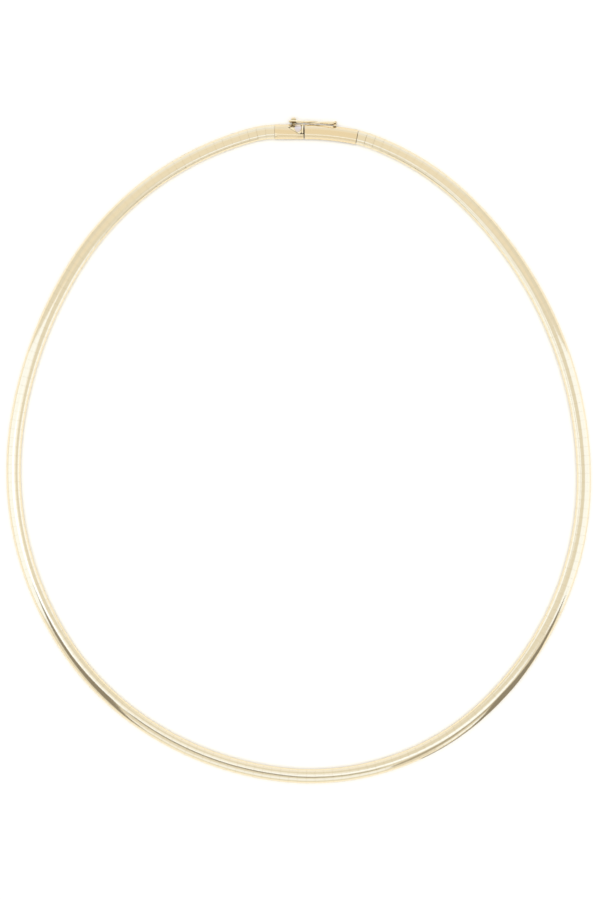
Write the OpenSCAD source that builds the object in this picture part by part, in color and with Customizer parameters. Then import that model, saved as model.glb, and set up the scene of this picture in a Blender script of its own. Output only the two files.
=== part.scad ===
// Omega necklace, lying flat on its back with its domed face up and its clasp at +Y.
// The origin is at the middle of the whole piece, on the surface that it lies on. Millimetres.

/* [Necklace] */
// Length round the middle of the band, clasp included
neck_len = 432; // [400:1:460]
// Width of the band
band_w = 3.2; // [2.8:0.1:4]
// Height of the band, from its flat back to the top of the dome
band_h = 1.9; // [1.7:0.1:2.2]
// Radius of the band's two rolled edges
band_edge = 0.7; // [0.55:0.05:0.8]

/* [Plates] */
// Length of band that each plate takes up
plate_pitch = 2; // [1.9:0.05:2.6]
// Open gap between one plate and the next
plate_gap = 0.12; // [0.1:0.01:0.2]
// Thickness of the sheet that a plate is rolled from
plate_sheet = 0.3; // [0.2:0.05:0.35]
// Width of the slot that the rolled lips leave along the back
slot_w = 1.4; // [0.8:0.1:1.6]

/* [Woven core] */
// Thickness of the woven ribbon
core_h = 0.6; // [0.4:0.05:0.7]
// Clearance between the ribbon and the lips it lies on
core_under = 0.12; // [0.1:0.01:0.2]
// Clearance between the ribbon's edges and the plates
core_side = 0.35; // [0.3:0.05:0.5]
// Length of ribbon that goes into each end piece
core_seat = 0.8; // [0.5:0.1:1]
// Distance between one section of the ribbon and the next
core_step = 3; // [2:0.5:4]

/* [End pieces] */
// How far the end pieces stand out beyond the band, on each side
end_step = 0.05; // [0.02:0.01:0.15]
// Wall of the end pieces
end_wall = 0.35; // [0.25:0.05:0.4]
// Length of the clasp box
box_len = 6.7; // [6.6:0.1:9]
// Length of the barrel
barrel_len = 12.1; // [10:0.1:14]
// Angle through which the barrel is curved
barrel_turn = 11.5; // [8:0.5:16]
// Gap between the box's mouth and the barrel's end plate
seam_gap = 0.4; // [0.3:0.05:0.6]
// Thickness of the barrel's end plate and of the wall at the back of the box
end_plate = 0.5; // [0.4:0.05:0.6]

/* [Notch and thumb tab] */
// Length of the V notch, from its tip to the box's mouth
notch_len = 3.6; // [3:0.1:3.8]
// Width of the notch at the mouth
notch_w = 2.9; // [2.7:0.1:3.2]
// How far the notch's middle line lies towards the band's outer side
notch_off = 0.7; // [0.3:0.05:0.75]
// Length of the V before its sides run straight to the mouth
notch_slope = 2.4; // [1.6:0.1:2.5]
// Height down to which the notch is cut
notch_floor = 1.2; // [1.15:0.05:1.3]
// Clearance round the thumb tab
tab_clear = 0.14; // [0.1:0.02:0.18]
// Thickness of the thumb tab's sheet
tab_sheet = 0.3; // [0.2:0.05:0.35]
// Thickness of the upright lip at the tab's end
lip_t = 0.36; // [0.25:0.01:0.4]
// How far the lip stands above the box's face
lip_proud = 0.16; // [0.05:0.01:0.25]

/* [Tongue] */
// Width of the folded spring
leaf_w = 1; // [0.8:0.1:1.1]
// Thickness of the spring's sheet
leaf_t = 0.24; // [0.2:0.02:0.28]
// Height of the lower leaf above the resting surface
leaf_z = 0.55; // [0.5:0.01:0.6]
// Inside radius of the fold
fold_r = 0.15; // [0.12:0.01:0.18]
// Clearance between the fold and the box's end plate
fold_room = 0.37; // [0.2:0.01:0.6]
// Rise of the upper leaf, from the fold to where the notch opens above it
leaf_rise = 0.12; // [0.06:0.01:0.14]
// Rise of the upper leaf, from the fold to its end under the tab
tab_rise = 0.36; // [0.32:0.02:0.4]
// Length of the tongue's tail inside the barrel
tail_len = 1.6; // [1.2:0.1:2]
// Clearance round the tongue where it goes through the barrel's end plate
leaf_clear = 0.1; // [0.08:0.01:0.12]

/* [Safety catch] */
// Thickness of the catch's wire
wire = 0.36; // [0.32:0.01:0.4]
// Diameter of the ball stud
ball_d = 1.2; // [1:0.05:1.25]
// Clearance between the ball and the loop that goes over it
ball_clear = 0.125; // [0.1:0.005:0.2]
// Distance from the box's side to the middle of the ball
ball_out = 0.95; // [0.9:0.01:1.1]
// Diameter of the ball's stem
stem_d = 0.5; // [0.4:0.05:0.6]
// Distance from the seam to the ball
ball_x = 2.4; // [2.2:0.1:3]
// Distance from the seam to the hinge
hinge_x = 7; // [6.4:0.1:7.5]
// Distance from the box's side, carried on straight, to the middle of the catch at its hinge
hinge_out = 0.24; // [0.22:0.01:0.3]
// Distance from the box's side to the middle of the catch at its ball end
loop_out = 0.6; // [0.58:0.01:0.7]
// Length over which the two wires part to cross each other
cross_len = 4.4; // [3:0.2:5]
// Gap between the two wires where they cross
cross_gap = 0.03; // [0.02:0.01:0.04]
// Height of the catch above the resting surface
catch_lift = 0.03; // [0.02:0.01:0.1]
// Bend radius of the corners of the hinge loop, at the middle of the wire
corner_r = 0.36; // [0.3:0.01:0.4]
// Diameter of the hinge pin, a little less than the wire's
pin_d = 0.3; // [0.24:0.01:0.3]
// Length of pin that goes into the wire at each end
pin_seat = 0.04; // [0.03:0.01:0.06]
// Clearance between the hinge wire and its tube
hinge_clear = 0.05; // [0.02:0.01:0.08]
// Wall of the hinge tube
hinge_wall = 0.2; // [0.15:0.01:0.25]
// Clearance between the hinge tube's ends and the corners of the wire
hinge_end = 0.13; // [0.1:0.01:0.2]

/* [Hidden] */
$fn = 48;

// Radius of the sharp bend where the band meets each end piece
joint_r = 18;
// Turn of the bend at the barrel's end, in degrees
joint_turn = 8;
// The band's route, clockwise from the barrel's bend to the box's bend. Each row is an arc:
// its turn in degrees, and its radius as a share of the mean radius. The two rows with no
// share take the radius that closes the loop.
ROUTE = [
    [25, 0.89],
    [44, 1.29],
    [48, undef],
    [50, 0.84],
    [29, undef],
    [22, 0.92],
    [42, 1.05],
    [22, 1.38],
    [44, 0.99]
];

full_turn = 360;
mean_r = neck_len / (2 * PI);
function sum_to(list, n) = n == 0 ? 0 : list[n - 1] + sum_to(list, n - 1);
function arc_len(r, turn) = 2 * PI * r * turn / full_turn;
function arc_turn(r, len) = full_turn * len / (2 * PI * r);
function arc_radius(len, turn) = full_turn * len / (2 * PI * turn);

// Arcs in order: the barrel, its bend, the rows of the route, and the box's bend
open_turns = concat([barrel_turn, joint_turn], [for (row = ROUTE) row[0]]);
turns = concat(open_turns, [full_turn - sum_to(open_turns, len(open_turns))]);
last = len(turns) - 1;
open_radii = concat(
    [arc_radius(barrel_len, barrel_turn), joint_r],
    [for (row = ROUTE) is_undef(row[1]) ? 0 : row[1] * mean_r],
    [joint_r]
);
closers = [for (i = [0:last]) if (open_radii[i] == 0) i];

// A heading of 0 runs along +X, and the route turns clockwise as its heading grows
heads = [for (i = [0:last + 1]) sum_to(turns, i)];
function side(heading) = [sin(heading), cos(heading)];
steps = [for (i = [0:last]) side(heads[i + 1]) - side(heads[i])];

// The two closing radii bring the route's end to the back of the box
function travel(radii, n) = n == 0 ? [0, 0] : radii[n - 1] * steps[n - 1] + travel(radii, n - 1);
miss = [-box_len, 0] - travel(open_radii, last + 1);
function cross2(a, b) = a.x * b.y - a.y * b.x;
step_a = steps[closers[0]];
step_b = steps[closers[1]];
close_a = cross2(miss, step_b) / cross2(step_a, step_b);
close_b = cross2(step_a, miss) / cross2(step_a, step_b);
radii = [for (i = [0:last]) i == closers[0] ? close_a : i == closers[1] ? close_b : open_radii[i]];

// Where each arc starts, as a distance along the route and as a point
lengths = [for (i = [0:last]) arc_len(radii[i], turns[i])];
starts = [for (i = [0:last + 1]) sum_to(lengths, i)];
corners = [for (i = [0:last + 1]) travel(radii, i)];
route_len = starts[last + 1];
function arc_at(s) = max([for (i = [0:last]) if (i == 0 || starts[i] <= s) i]);
function heading_at(s) = let (i = arc_at(s)) heads[i] + arc_turn(radii[i], s - starts[i]);
function point_at(s) = let (i = arc_at(s))
    corners[i] + radii[i] * (side(heading_at(s)) - side(heads[i]));
function arc_facing(heading) = max([for (i = [0:last]) if (heads[i] <= heading) i]);
function point_facing(heading) = let (i = arc_facing(heading))
    corners[i] + radii[i] * (side(heading) - side(heads[i]));

// The chain of plates runs from the barrel to the box
chain_len = route_len - barrel_len;
plate_n = round(chain_len / plate_pitch);
pitch = chain_len / plate_n;

// Sections: the core inside the plates, and the end pieces round both
core_w = band_w - 2 * (plate_sheet + core_side);
core_z = plate_sheet + core_under;
end_w = band_w + 2 * end_step;
end_h = band_h + 2 * end_step;
end_edge = band_edge + end_step;
end_side = end_w / 2;
inner_w = end_w - 2 * end_wall;
inner_h = end_h - 2 * end_wall;
inner_edge = end_edge - end_wall;

// The dome's circle touches the circles of both edges
function dome_z(w, h, e) = (pow(w / 2 - e, 2) + pow(e, 2) - pow(h - e, 2)) / (2 * (2 * e - h));
end_dome_z = dome_z(end_w, end_h, end_edge);
end_dome_r = end_h - end_dome_z;

// The spring's fold stops short of the end plate inside the box
fold_x = box_len - 2 * plate_gap - core_seat - end_plate - leaf_t - fold_r - fold_room;
tab_floor = notch_floor + tab_clear;

// The catch lies along a line from its hinge to the ball, a little outward at the ball
loop_r = ball_d / 2 + ball_clear + wire / 2;
catch_z = catch_lift + wire / 2 + loop_r;
catch_span = ball_x + hinge_x;
catch_lean = atan((loop_out - hinge_out) / catch_span);
catch_len = sqrt(pow(catch_span, 2) + pow(loop_out - hinge_out, 2));
hinge_y = end_side + hinge_out;
pin_half = loop_r - corner_r;
bore_r = pin_d / 2 + hinge_clear;
tube_r = bore_r + hinge_wall;
tube_half = pin_half - hinge_end;

// The middle of the whole piece, from the route's outermost points and the ball
x_high = point_facing(full_turn / 4).x + band_w / 2;
x_low = point_facing(full_turn * 3 / 4).x - band_w / 2;
y_low = point_facing(full_turn / 2).y - band_w / 2;
y_high = end_side + ball_out + ball_d / 2;
middle = [(x_high + x_low) / 2, (y_high + y_low) / 2];

// Reach of the tools that cut through, longer than any end piece is deep
through = 2 * end_h;
// Reach of the lines that bound a dome, past the top of any section
dome_reach = 3 * band_h;

// Outline of a domed strip with a flat back at height 0 and two rolled edges
module domed(w, h, e) {
    a = w / 2 - e;
    z = dome_z(w, h, e);
    r = h - z;
    flare = dome_reach * [a, e - z] / (r - e);
    for (x = [-a, a]) translate([x, e]) circle(r = e);
    intersection() {
        translate([0, z]) circle(r = r);
        polygon([
            [-a, 0], [a, 0], [a, e], [a + flare.x, e + flare.y],
            [-a - flare.x, e + flare.y], [-a, e]
        ]);
    }
}

module plate_section() {
    difference() {
        domed(band_w, band_h, band_edge);
        translate([0, plate_sheet])
            domed(band_w - 2 * plate_sheet, band_h - 2 * plate_sheet, band_edge - plate_sheet);
        translate([-slot_w / 2, -plate_sheet]) square([slot_w, 3 * plate_sheet]);
    }
}

module end_section() domed(end_w, end_h, end_edge);

module end_hollow() translate([0, end_wall]) domed(inner_w, inner_h, inner_edge);

// Sweeps a section along the route from one distance to another
module band(from, to) {
    h_from = heading_at(from);
    h_to = heading_at(to);
    r = arc_radius(to - from, h_to - h_from);
    middle_of_arc = point_at(from) - r * side(h_from);
    translate(middle_of_arc)
        rotate([0, 0, full_turn / 4 - h_to])
            rotate_extrude(angle = h_to - h_from)
                translate([r, 0]) children();
}

// Sweeps a section straight along the box, between two distances back from the seam
module along_box(far, near) {
    translate([-far, 0, 0]) rotate([90, 0, 90]) linear_extrude(far - near) children();
}

// Moves a piece from the seam's frame to the part's own
module placed() {
    translate([-middle.x, -middle.y, 0]) children();
}

// One plate: a straight length of the C section, its ends trimmed square to the route
module plate(from, to) {
    a = point_at(from);
    b = point_at(to);
    half_turn = (heading_at(to) - heading_at(from)) / 2;
    half_len = norm(b - a) / 2;
    flare = band_w * tan(half_turn);
    translate([(a.x + b.x) / 2, (a.y + b.y) / 2, 0])
        rotate([0, 0, -heading_at(from) - half_turn])
            intersection() {
                rotate([90, 0, 90]) linear_extrude(2 * plate_pitch, center = true) plate_section();
                linear_extrude(through)
                    polygon([
                        [flare - half_len, -band_w], [half_len - flare, -band_w],
                        [half_len + flare, band_w], [-half_len - flare, band_w]
                    ]);
            }
}

module omega_plates() {
    color("gold") placed()
        for (k = [0:plate_n - 1])
            plate(barrel_len + k * pitch + plate_gap / 2, barrel_len + (k + 1) * pitch - plate_gap / 2);
}

// One section of the ribbon: four corners across the route at a distance along it
function core_ring(p, heading) = [
    for (c = [[-1, 0], [1, 0], [1, 1], [-1, 1]])
        let (q = p + side(heading) * c.x * core_w / 2) [q.x, q.y, core_z + c.y * core_h]
];

module woven_core() {
    from = barrel_len - core_seat;
    n = ceil((route_len - from) / core_step);
    color("darkgoldenrod") placed()
        swept(concat(
            [for (k = [0:n]) let (s = from + (route_len - from) * k / n)
                core_ring(point_at(s), heading_at(s))],
            [core_ring([core_seat - box_len, 0], full_turn)]
        ));
}

// Plan of the V notch, or of what lies inside it with a clearance all round
module notch_plan(clear, reach) {
    v_half = atan(notch_w / 2 / notch_slope);
    half = notch_w / 2 - clear;
    tip = -notch_len + clear / sin(v_half);
    shoulder = tip + half / tan(v_half);
    translate([0, notch_off])
        polygon([[tip, 0], [shoulder, -half], [reach, -half], [reach, half], [shoulder, half]]);
}

module clasp_box() {
    back = box_len - plate_gap;
    color("gold") placed() {
        difference() {
            along_box(back, seam_gap / 2) end_section();
            along_box(back - core_seat - plate_gap - end_plate, -through) end_hollow();
            along_box(back + through, back - core_seat - plate_gap) end_hollow();
            translate([0, 0, notch_floor]) linear_extrude(through) notch_plan(0, through);
        }
        translate([-ball_x, end_side + ball_out, catch_z]) {
            sphere(d = ball_d);
            rotate([90, 0, 0]) cylinder(d = stem_d, h = ball_out + end_wall / 2);
        }
    }
}

// Curved tab that fills the notch, a little below the box's face
module thumb_tab() {
    end = seam_gap / 2 + tab_clear;
    intersection() {
        along_box(notch_len, end) intersection() {
            difference() {
                translate([0, end_dome_z]) circle(r = end_dome_r - tab_clear);
                translate([0, end_dome_z]) circle(r = end_dome_r - tab_clear - tab_sheet);
            }
            translate([-end_w, tab_floor]) square([2 * end_w, end_h]);
        }
        linear_extrude(through) notch_plan(tab_clear, -end);
    }
}

// Upright lip across the tab's end
module thumb_lip() {
    end = seam_gap / 2 + tab_clear;
    low = notch_off - notch_w / 2 + tab_clear;
    along_box(end + lip_t, end) intersection() {
        translate([0, end_dome_z]) circle(r = end_dome_r + lip_proud);
        translate([low, tab_floor]) square([end_side - low, end_h]);
    }
}

module spring_tongue() {
    fold_z = leaf_z + leaf_t + fold_r;
    top_z = fold_z + fold_r;
    end_x = seam_gap + lip_t;
    open_x = notch_len - notch_slope * (notch_off + leaf_w / 2) / (notch_w / 2) - tab_clear;
    color("silver") placed() {
        rotate([90, 0, 0]) linear_extrude(leaf_w, center = true) {
            translate([-fold_x, leaf_z]) square([fold_x + tail_len, leaf_t]);
            difference() {
                translate([-fold_x, fold_z]) circle(r = fold_r + leaf_t);
                translate([-fold_x, fold_z]) circle(r = fold_r);
                translate([-fold_x, 0]) square([fold_x, through]);
            }
            polygon([
                [-fold_x, top_z], [-open_x, top_z + leaf_rise], [-end_x, top_z + tab_rise],
                [-end_x, top_z + tab_rise + leaf_t], [-open_x, top_z + leaf_rise + leaf_t],
                [-fold_x, top_z + leaf_t]
            ]);
        }
        thumb_tab();
        thumb_lip();
    }
}

module clasp_barrel() {
    front = seam_gap / 2;
    back = barrel_len - plate_gap / 2;
    slot_h = leaf_t + 2 * leaf_clear;
    color("gold") placed() {
        difference() {
            band(front, back) end_section();
            band(front + end_plate, barrel_len) end_hollow();
            translate([-through, -leaf_w / 2 - leaf_clear, leaf_z - leaf_clear])
                cube([2 * through, leaf_w + 2 * leaf_clear, slot_h]);
        }
        difference() {
            union() {
                translate([hinge_x, hinge_y, catch_z - tube_half]) cylinder(r = tube_r, h = 2 * tube_half);
                hinge_bracket();
            }
            translate([hinge_x, hinge_y, catch_z - through]) cylinder(r = bore_r, h = 2 * through);
        }
    }
}

// Short web that carries the hinge tube on the barrel's side
module hinge_bracket() {
    wall_y = point_at(hinge_x).y + end_side - end_wall / 2;
    translate([hinge_x - tube_r / 2, wall_y, catch_z - tube_half])
        cube([tube_r, hinge_y - wall_y, 2 * tube_half]);
}

// Half of the catch's path in its own plane, from the pin's top over the upper corner, across to
// the ball loop's lower side and round to its far end, as [along, up]
corner = [-corner_r, pin_half];
loop = [-catch_len, 0];
reach = loop - corner;
run_turn = atan2(reach.y, reach.x) + full_turn + asin((corner_r + loop_r) / norm(reach));
function on_circle(centre, r, angle) = centre + r * [cos(angle), sin(angle)];
function arc_points(centre, r, from, to, n) = [
    for (k = [0:n]) on_circle(centre, r, from + (to - from) * k / n)
];
run_from = on_circle(corner, corner_r, run_turn - full_turn / 4);
run_to = on_circle(loop, loop_r, run_turn + full_turn / 4);
// Steps round a corner, along the run and round half the loop, and sides of the wire
corner_n = 6;
run_n = 12;
loop_n = 9;
wire_sides = 12;
catch_half = concat(
    arc_points(corner, corner_r, 0, run_turn - full_turn / 4, corner_n),
    [for (k = [1:run_n - 1]) run_from + (run_to - run_from) * k / run_n],
    arc_points(loop, loop_r, run_turn + full_turn / 4, full_turn / 2, loop_n)
);

// At the crossing one wire goes a little outward and the other inward, away from the catch's plane
cross_x = run_from.x - run_from.y * (run_to.x - run_from.x) / (run_to.y - run_from.y);
function part_at(x) = let (t = abs(x - cross_x) / (cross_len / 2))
    t >= 1 ? 0 : (wire + cross_gap) / 2 * pow(cos(full_turn / 4 * t), 2);
catch_path = concat(
    [for (p = catch_half) [p.x, p.y, part_at(p.x)]],
    [for (k = [len(catch_half) - 2:-1:0]) let (p = catch_half[k]) [p.x, -p.y, -part_at(p.x)]]
);

function wire_ring(k) =
    let (
        final = len(catch_path) - 1,
        ahead = catch_path[min(k + 1, final)] - catch_path[max(k - 1, 0)],
        along = k == 0 || k == final ? [0, 1, 0] : ahead / norm(ahead),
        across = cross(along, [0, 0, 1]) / norm(cross(along, [0, 0, 1])),
        upward = cross(across, along)
    )
    [for (c = [0:wire_sides - 1]) let (angle = full_turn * c / wire_sides)
        catch_path[k] + wire / 2 * (cos(angle) * across + sin(angle) * upward)];

// A tube or strip through a list of rings that all have the same number of corners
module swept(rings) {
    n = len(rings[0]);
    final = len(rings) - 1;
    polyhedron(
        points = [for (ring = rings) each ring],
        faces = concat(
            [[for (c = [n - 1:-1:0]) c]],
            [for (k = [0:final - 1], c = [0:n - 1]) let (d = (c + 1) % n)
                [k * n + c, k * n + d, (k + 1) * n + d, (k + 1) * n + c]],
            [[for (c = [0:n - 1]) final * n + c]]
        )
    );
}

module catch_shape() {
    swept([for (k = [0:len(catch_path) - 1]) wire_ring(k)]);
    pin_reach = pin_half + pin_seat;
    rotate([90, 0, 0]) cylinder(d = pin_d, h = 2 * pin_reach, center = true);
}

module safety_catch() {
    color("gold") placed()
        translate([hinge_x, hinge_y, catch_z])
            rotate([0, 0, -catch_lean])
                rotate([90, 0, 0]) catch_shape();
}

omega_plates();
woven_core();
clasp_box();
spring_tongue();
clasp_barrel();
safety_catch();
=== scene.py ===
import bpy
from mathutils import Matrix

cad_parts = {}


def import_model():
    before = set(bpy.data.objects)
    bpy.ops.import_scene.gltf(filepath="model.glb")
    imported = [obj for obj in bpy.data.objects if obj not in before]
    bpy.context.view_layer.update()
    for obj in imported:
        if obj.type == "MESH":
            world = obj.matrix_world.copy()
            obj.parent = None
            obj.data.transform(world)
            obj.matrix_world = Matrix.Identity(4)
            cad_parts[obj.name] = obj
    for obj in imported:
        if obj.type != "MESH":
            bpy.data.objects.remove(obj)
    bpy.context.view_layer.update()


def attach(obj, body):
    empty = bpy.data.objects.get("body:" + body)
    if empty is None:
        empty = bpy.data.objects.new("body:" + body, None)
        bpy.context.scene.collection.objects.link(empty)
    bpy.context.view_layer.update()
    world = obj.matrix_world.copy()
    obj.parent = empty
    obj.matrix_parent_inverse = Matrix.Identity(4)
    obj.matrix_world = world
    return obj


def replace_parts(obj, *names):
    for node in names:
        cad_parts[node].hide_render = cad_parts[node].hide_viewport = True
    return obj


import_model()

import math
import random

import bmesh
import bpy
import numpy as np
from mathutils import Matrix, Quaternion, Vector

MM = 0.001

# Sizes, in millimetres

NECK_LEN = 432
BAND_W, BAND_H, BAND_EDGE = 3.2, 1.9, 0.7
PLATE_PITCH, PLATE_SHEET, SLOT_W = 2, 0.3, 1.4
CORE_H, CORE_UNDER, CORE_SIDE, CORE_SEAT = 0.6, 0.12, 0.35, 0.8
END_STEP, END_WALL, END_PLATE = 0.05, 0.35, 0.5
BOX_LEN, BARREL_LEN, BARREL_TURN = 6.7, 12.1, 11.5
SEAM_GAP, PLATE_GAP = 0.4, 0.12
NOTCH_LEN, NOTCH_W, NOTCH_OFF, NOTCH_SLOPE, NOTCH_FLOOR = 3.6, 2.9, 0.7, 2.4, 1.2
TAB_CLEAR, TAB_SHEET, LIP_T, LIP_PROUD = 0.14, 0.3, 0.36, 0.16
LEAF_W, LEAF_T, LEAF_Z, FOLD_R, FOLD_X, TAIL_LEN = 1, 0.24, 0.55, 0.15, 4.4, 1.6
LEAF_RISE, TAB_RISE, LEAF_CLEAR = 0.12, 0.36, 0.1
WIRE, PIN_D, CORNER_R = 0.36, 0.3, 0.36
BALL_D, BALL_CLEAR, BALL_OUT, STEM_D, BALL_X = 1.2, 0.125, 0.95, 0.5, 2.4
HINGE_X, HINGE_OUT, LOOP_OUT = 7, 0.24, 0.6
CROSS_LEN, CROSS_GAP, CATCH_LIFT = 4.4, 0.03, 0.03
HINGE_CLEAR, HINGE_WALL, HINGE_END = 0.05, 0.2, 0.13

END_W, END_H, END_E = BAND_W + 2 * END_STEP, BAND_H + 2 * END_STEP, BAND_EDGE + END_STEP
END_SIDE = END_W / 2
CORE_W = BAND_W - 2 * (PLATE_SHEET + CORE_SIDE)
CORE_Z = PLATE_SHEET + CORE_UNDER
LOOP_R = BALL_D / 2 + BALL_CLEAR + WIRE / 2
PIN_HALF = LOOP_R - CORNER_R
BORE_R = PIN_D / 2 + HINGE_CLEAR
TUBE_R = BORE_R + HINGE_WALL
TUBE_HALF = PIN_HALF - HINGE_END
CATCH_Z = CATCH_LIFT + WIRE / 2 + LOOP_R
CATCH_SPAN = BALL_X + HINGE_X
CATCH_LEAN = math.atan((LOOP_OUT - HINGE_OUT) / CATCH_SPAN)
CATCH_LEN = math.hypot(CATCH_SPAN, LOOP_OUT - HINGE_OUT)
HINGE_Y = END_SIDE + HINGE_OUT

# The seams as they show: thin dark lines, narrower than the solids keep from each other.
SEEN_SEAM, SEEN_BOX_SEAM = 0.22, 0.03

# The band's route

# Arcs from the barrel's bend to the box: turn in degrees, radius as a share of the mean radius.
# None takes the radius that closes the loop.
JOINT_R, JOINT_TURN = 18, 8
ROUTE = [(25, 0.89), (44, 1.29), (48, None), (50, 0.84), (29, None),
         (22, 0.92), (42, 1.05), (22, 1.38), (44, 0.99)]
MEAN_R = NECK_LEN / math.tau


def outward(heading):
    """Unit vector to the band's outer side; a heading of 0 runs along +X and turns clockwise."""
    return np.array([math.sin(math.radians(heading)), math.cos(math.radians(heading))])


def ahead(heading):
    """Unit vector along the band."""
    return np.array([math.cos(math.radians(heading)), -math.sin(math.radians(heading))])


def laid_route():
    """Headings, radii, distances and corners of the arcs, from the seam to the box's back."""
    turns = [BARREL_TURN, JOINT_TURN] + [row[0] for row in ROUTE]
    turns.append(360 - sum(turns))
    radii = [BARREL_LEN / math.radians(BARREL_TURN), JOINT_R]
    radii += [0 if row[1] is None else row[1] * MEAN_R for row in ROUTE] + [JOINT_R]
    heads = np.concatenate([[0], np.cumsum(turns)])
    steps = [outward(heads[i + 1]) - outward(heads[i]) for i in range(len(turns))]
    free = [i for i, r in enumerate(radii) if r == 0]
    miss = np.array([-BOX_LEN, 0.0]) - sum(r * s for r, s in zip(radii, steps))
    closing = np.linalg.solve(np.array([steps[free[0]], steps[free[1]]]).T, miss)
    for i, r in zip(free, closing):
        radii[i] = r
    lengths = np.radians(turns) * radii
    starts = np.concatenate([[0], np.cumsum(lengths)])
    corners = [np.zeros(2)]
    for r, s in zip(radii, steps):
        corners.append(corners[-1] + r * s)
    return heads, radii, starts, corners


HEADS, RADII, STARTS, CORNERS = laid_route()
ROUTE_LEN = STARTS[-1]
ARCS = len(RADII)


def route_at(s):
    """Point on the route and heading there; past either end it runs on straight."""
    if s <= 0:
        return np.array([s, 0.0]), 0.0
    if s >= ROUTE_LEN:
        return CORNERS[-1] + ahead(360) * (s - ROUTE_LEN), 360.0
    i = int(np.searchsorted(STARTS, s, side="right")) - 1
    heading = HEADS[i] + math.degrees((s - STARTS[i]) / RADII[i])
    return CORNERS[i] + RADII[i] * (outward(heading) - outward(HEADS[i])), heading


def facing(heading):
    """Point on the route whose outer side faces that heading."""
    i = max(k for k in range(ARCS) if HEADS[k] <= heading)
    return CORNERS[i] + RADII[i] * (outward(heading) - outward(HEADS[i]))


X_MID = (facing(90)[0] + facing(270)[0]) / 2
Y_MID = (facing(180)[1] - BAND_W / 2 + END_SIDE + BALL_OUT + BALL_D / 2) / 2
PLATE_N = round((ROUTE_LEN - BARREL_LEN) / PLATE_PITCH)
PITCH = (ROUTE_LEN - BARREL_LEN) / PLATE_N


def beside(s, across, up):
    """A point given by its distance along the route, across it and above the resting surface."""
    p, heading = route_at(s)
    q = p + outward(heading) * across
    return q[0], q[1], up


# Meshes, built in millimetres at the seam

def to_part(mesh):
    """From millimetres at the clasp's seam to metres in the part's frame."""
    mesh.transform(Matrix.Scale(MM, 4) @ Matrix.Translation((-X_MID, -Y_MID, 0)))


def dressed(name, mesh, body, finish, sharp):
    """The piece on its body, with its finish, shaded smooth except over its real edges."""
    mesh.polygons.foreach_set("use_smooth", [True] * len(mesh.polygons))
    mesh.set_sharp_from_angle(angle=math.radians(sharp))
    mesh.materials.clear()
    mesh.materials.append(finish)
    piece = bpy.data.objects.new(name, mesh)
    bpy.context.scene.collection.objects.link(piece)
    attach(piece, body)
    return piece


def made(name, verts, faces, body, finish, sharp, uvs=None):
    """A finished piece from its corners and faces."""
    mesh = bpy.data.meshes.new(name)
    mesh.from_pydata([tuple(v) for v in verts], [], faces)
    if uvs is not None:
        layer = mesh.uv_layers.new(name="along_and_across")
        loops = np.zeros(len(mesh.loops), dtype=np.int32)
        mesh.loops.foreach_get("vertex_index", loops)
        layer.data.foreach_set("uv", np.asarray(uvs, dtype=np.float32)[loops].ravel())
    mesh.update()
    to_part(mesh)
    return dressed(name, mesh, body, finish, sharp)


def tube_faces(rings, sides, first=0):
    """Faces and two ends of a tube of rings that all have the same number of sides."""
    faces = []
    for j in range(rings - 1):
        for c in range(sides):
            d = (c + 1) % sides
            a, b = first + j * sides, first + (j + 1) * sides
            faces.append((a + c, a + d, b + d, b + c))
    faces.append(tuple(first + c for c in range(sides - 1, -1, -1)))
    faces.append(tuple(first + (rings - 1) * sides + c for c in range(sides)))
    return faces


def circle(radius, sides):
    """Corners of a ring round the origin."""
    turns = [math.tau * c / sides for c in range(sides)]
    return [(radius * math.cos(t), radius * math.sin(t)) for t in turns]


def dome_centre(w, h, e):
    """Height of the dome's centre, for a section w wide and h high with sides of radius e."""
    return ((w / 2 - e) ** 2 + e ** 2 - (h - e) ** 2) / (2 * (2 * e - h))


def domed(w, h, e, lift=0.0, lip=None, n_edge=7, n_dome=26):
    """Outline of the domed section, from its right foot over the top to its left foot. With a
    lip, the foot turns in under the section to that distance from the middle."""
    a, z = w / 2 - e, dome_centre(w, h, e)
    meet = math.atan2(e - z, a)
    right = [] if lip is None else [(lip, lift)]
    for k in range(n_edge + 1):
        t = -math.pi / 2 + (meet + math.pi / 2) * k / n_edge
        right.append((a + e * math.cos(t), lift + e + e * math.sin(t)))
    dome = []
    for k in range(1, n_dome):
        t = meet + (math.pi - 2 * meet) * k / n_dome
        dome.append(((h - z) * math.cos(t), lift + z + (h - z) * math.sin(t)))
    return right + dome + [(-x, y) for x, y in reversed(right)]


# Materials

def linear(code):
    """An sRGB hex colour as linear values with full alpha."""
    parts = [int(code[i:i + 2], 16) / 255 for i in (1, 3, 5)]
    return [c / 12.92 if c <= 0.04045 else ((c + 0.055) / 1.055) ** 2.4 for c in parts] + [1.0]


def node(tree, kind, settings=None, **links):
    """Adds one node, sets its values and sockets, and links what is given as (node, output)."""
    made_node = tree.nodes.new(kind)
    for key, value in (settings or {}).items():
        if hasattr(made_node, key):
            setattr(made_node, key, value)
        else:
            made_node.inputs[key].default_value = value
    for key, (source, output) in links.items():
        tree.links.new(source.outputs[output], made_node.inputs[key.replace("_", " ")])
    return made_node


def material(name):
    """A new material and its empty node tree."""
    mat = bpy.data.materials.new(name)
    mat.use_nodes = True
    mat.node_tree.nodes.clear()
    return mat, mat.node_tree


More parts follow.
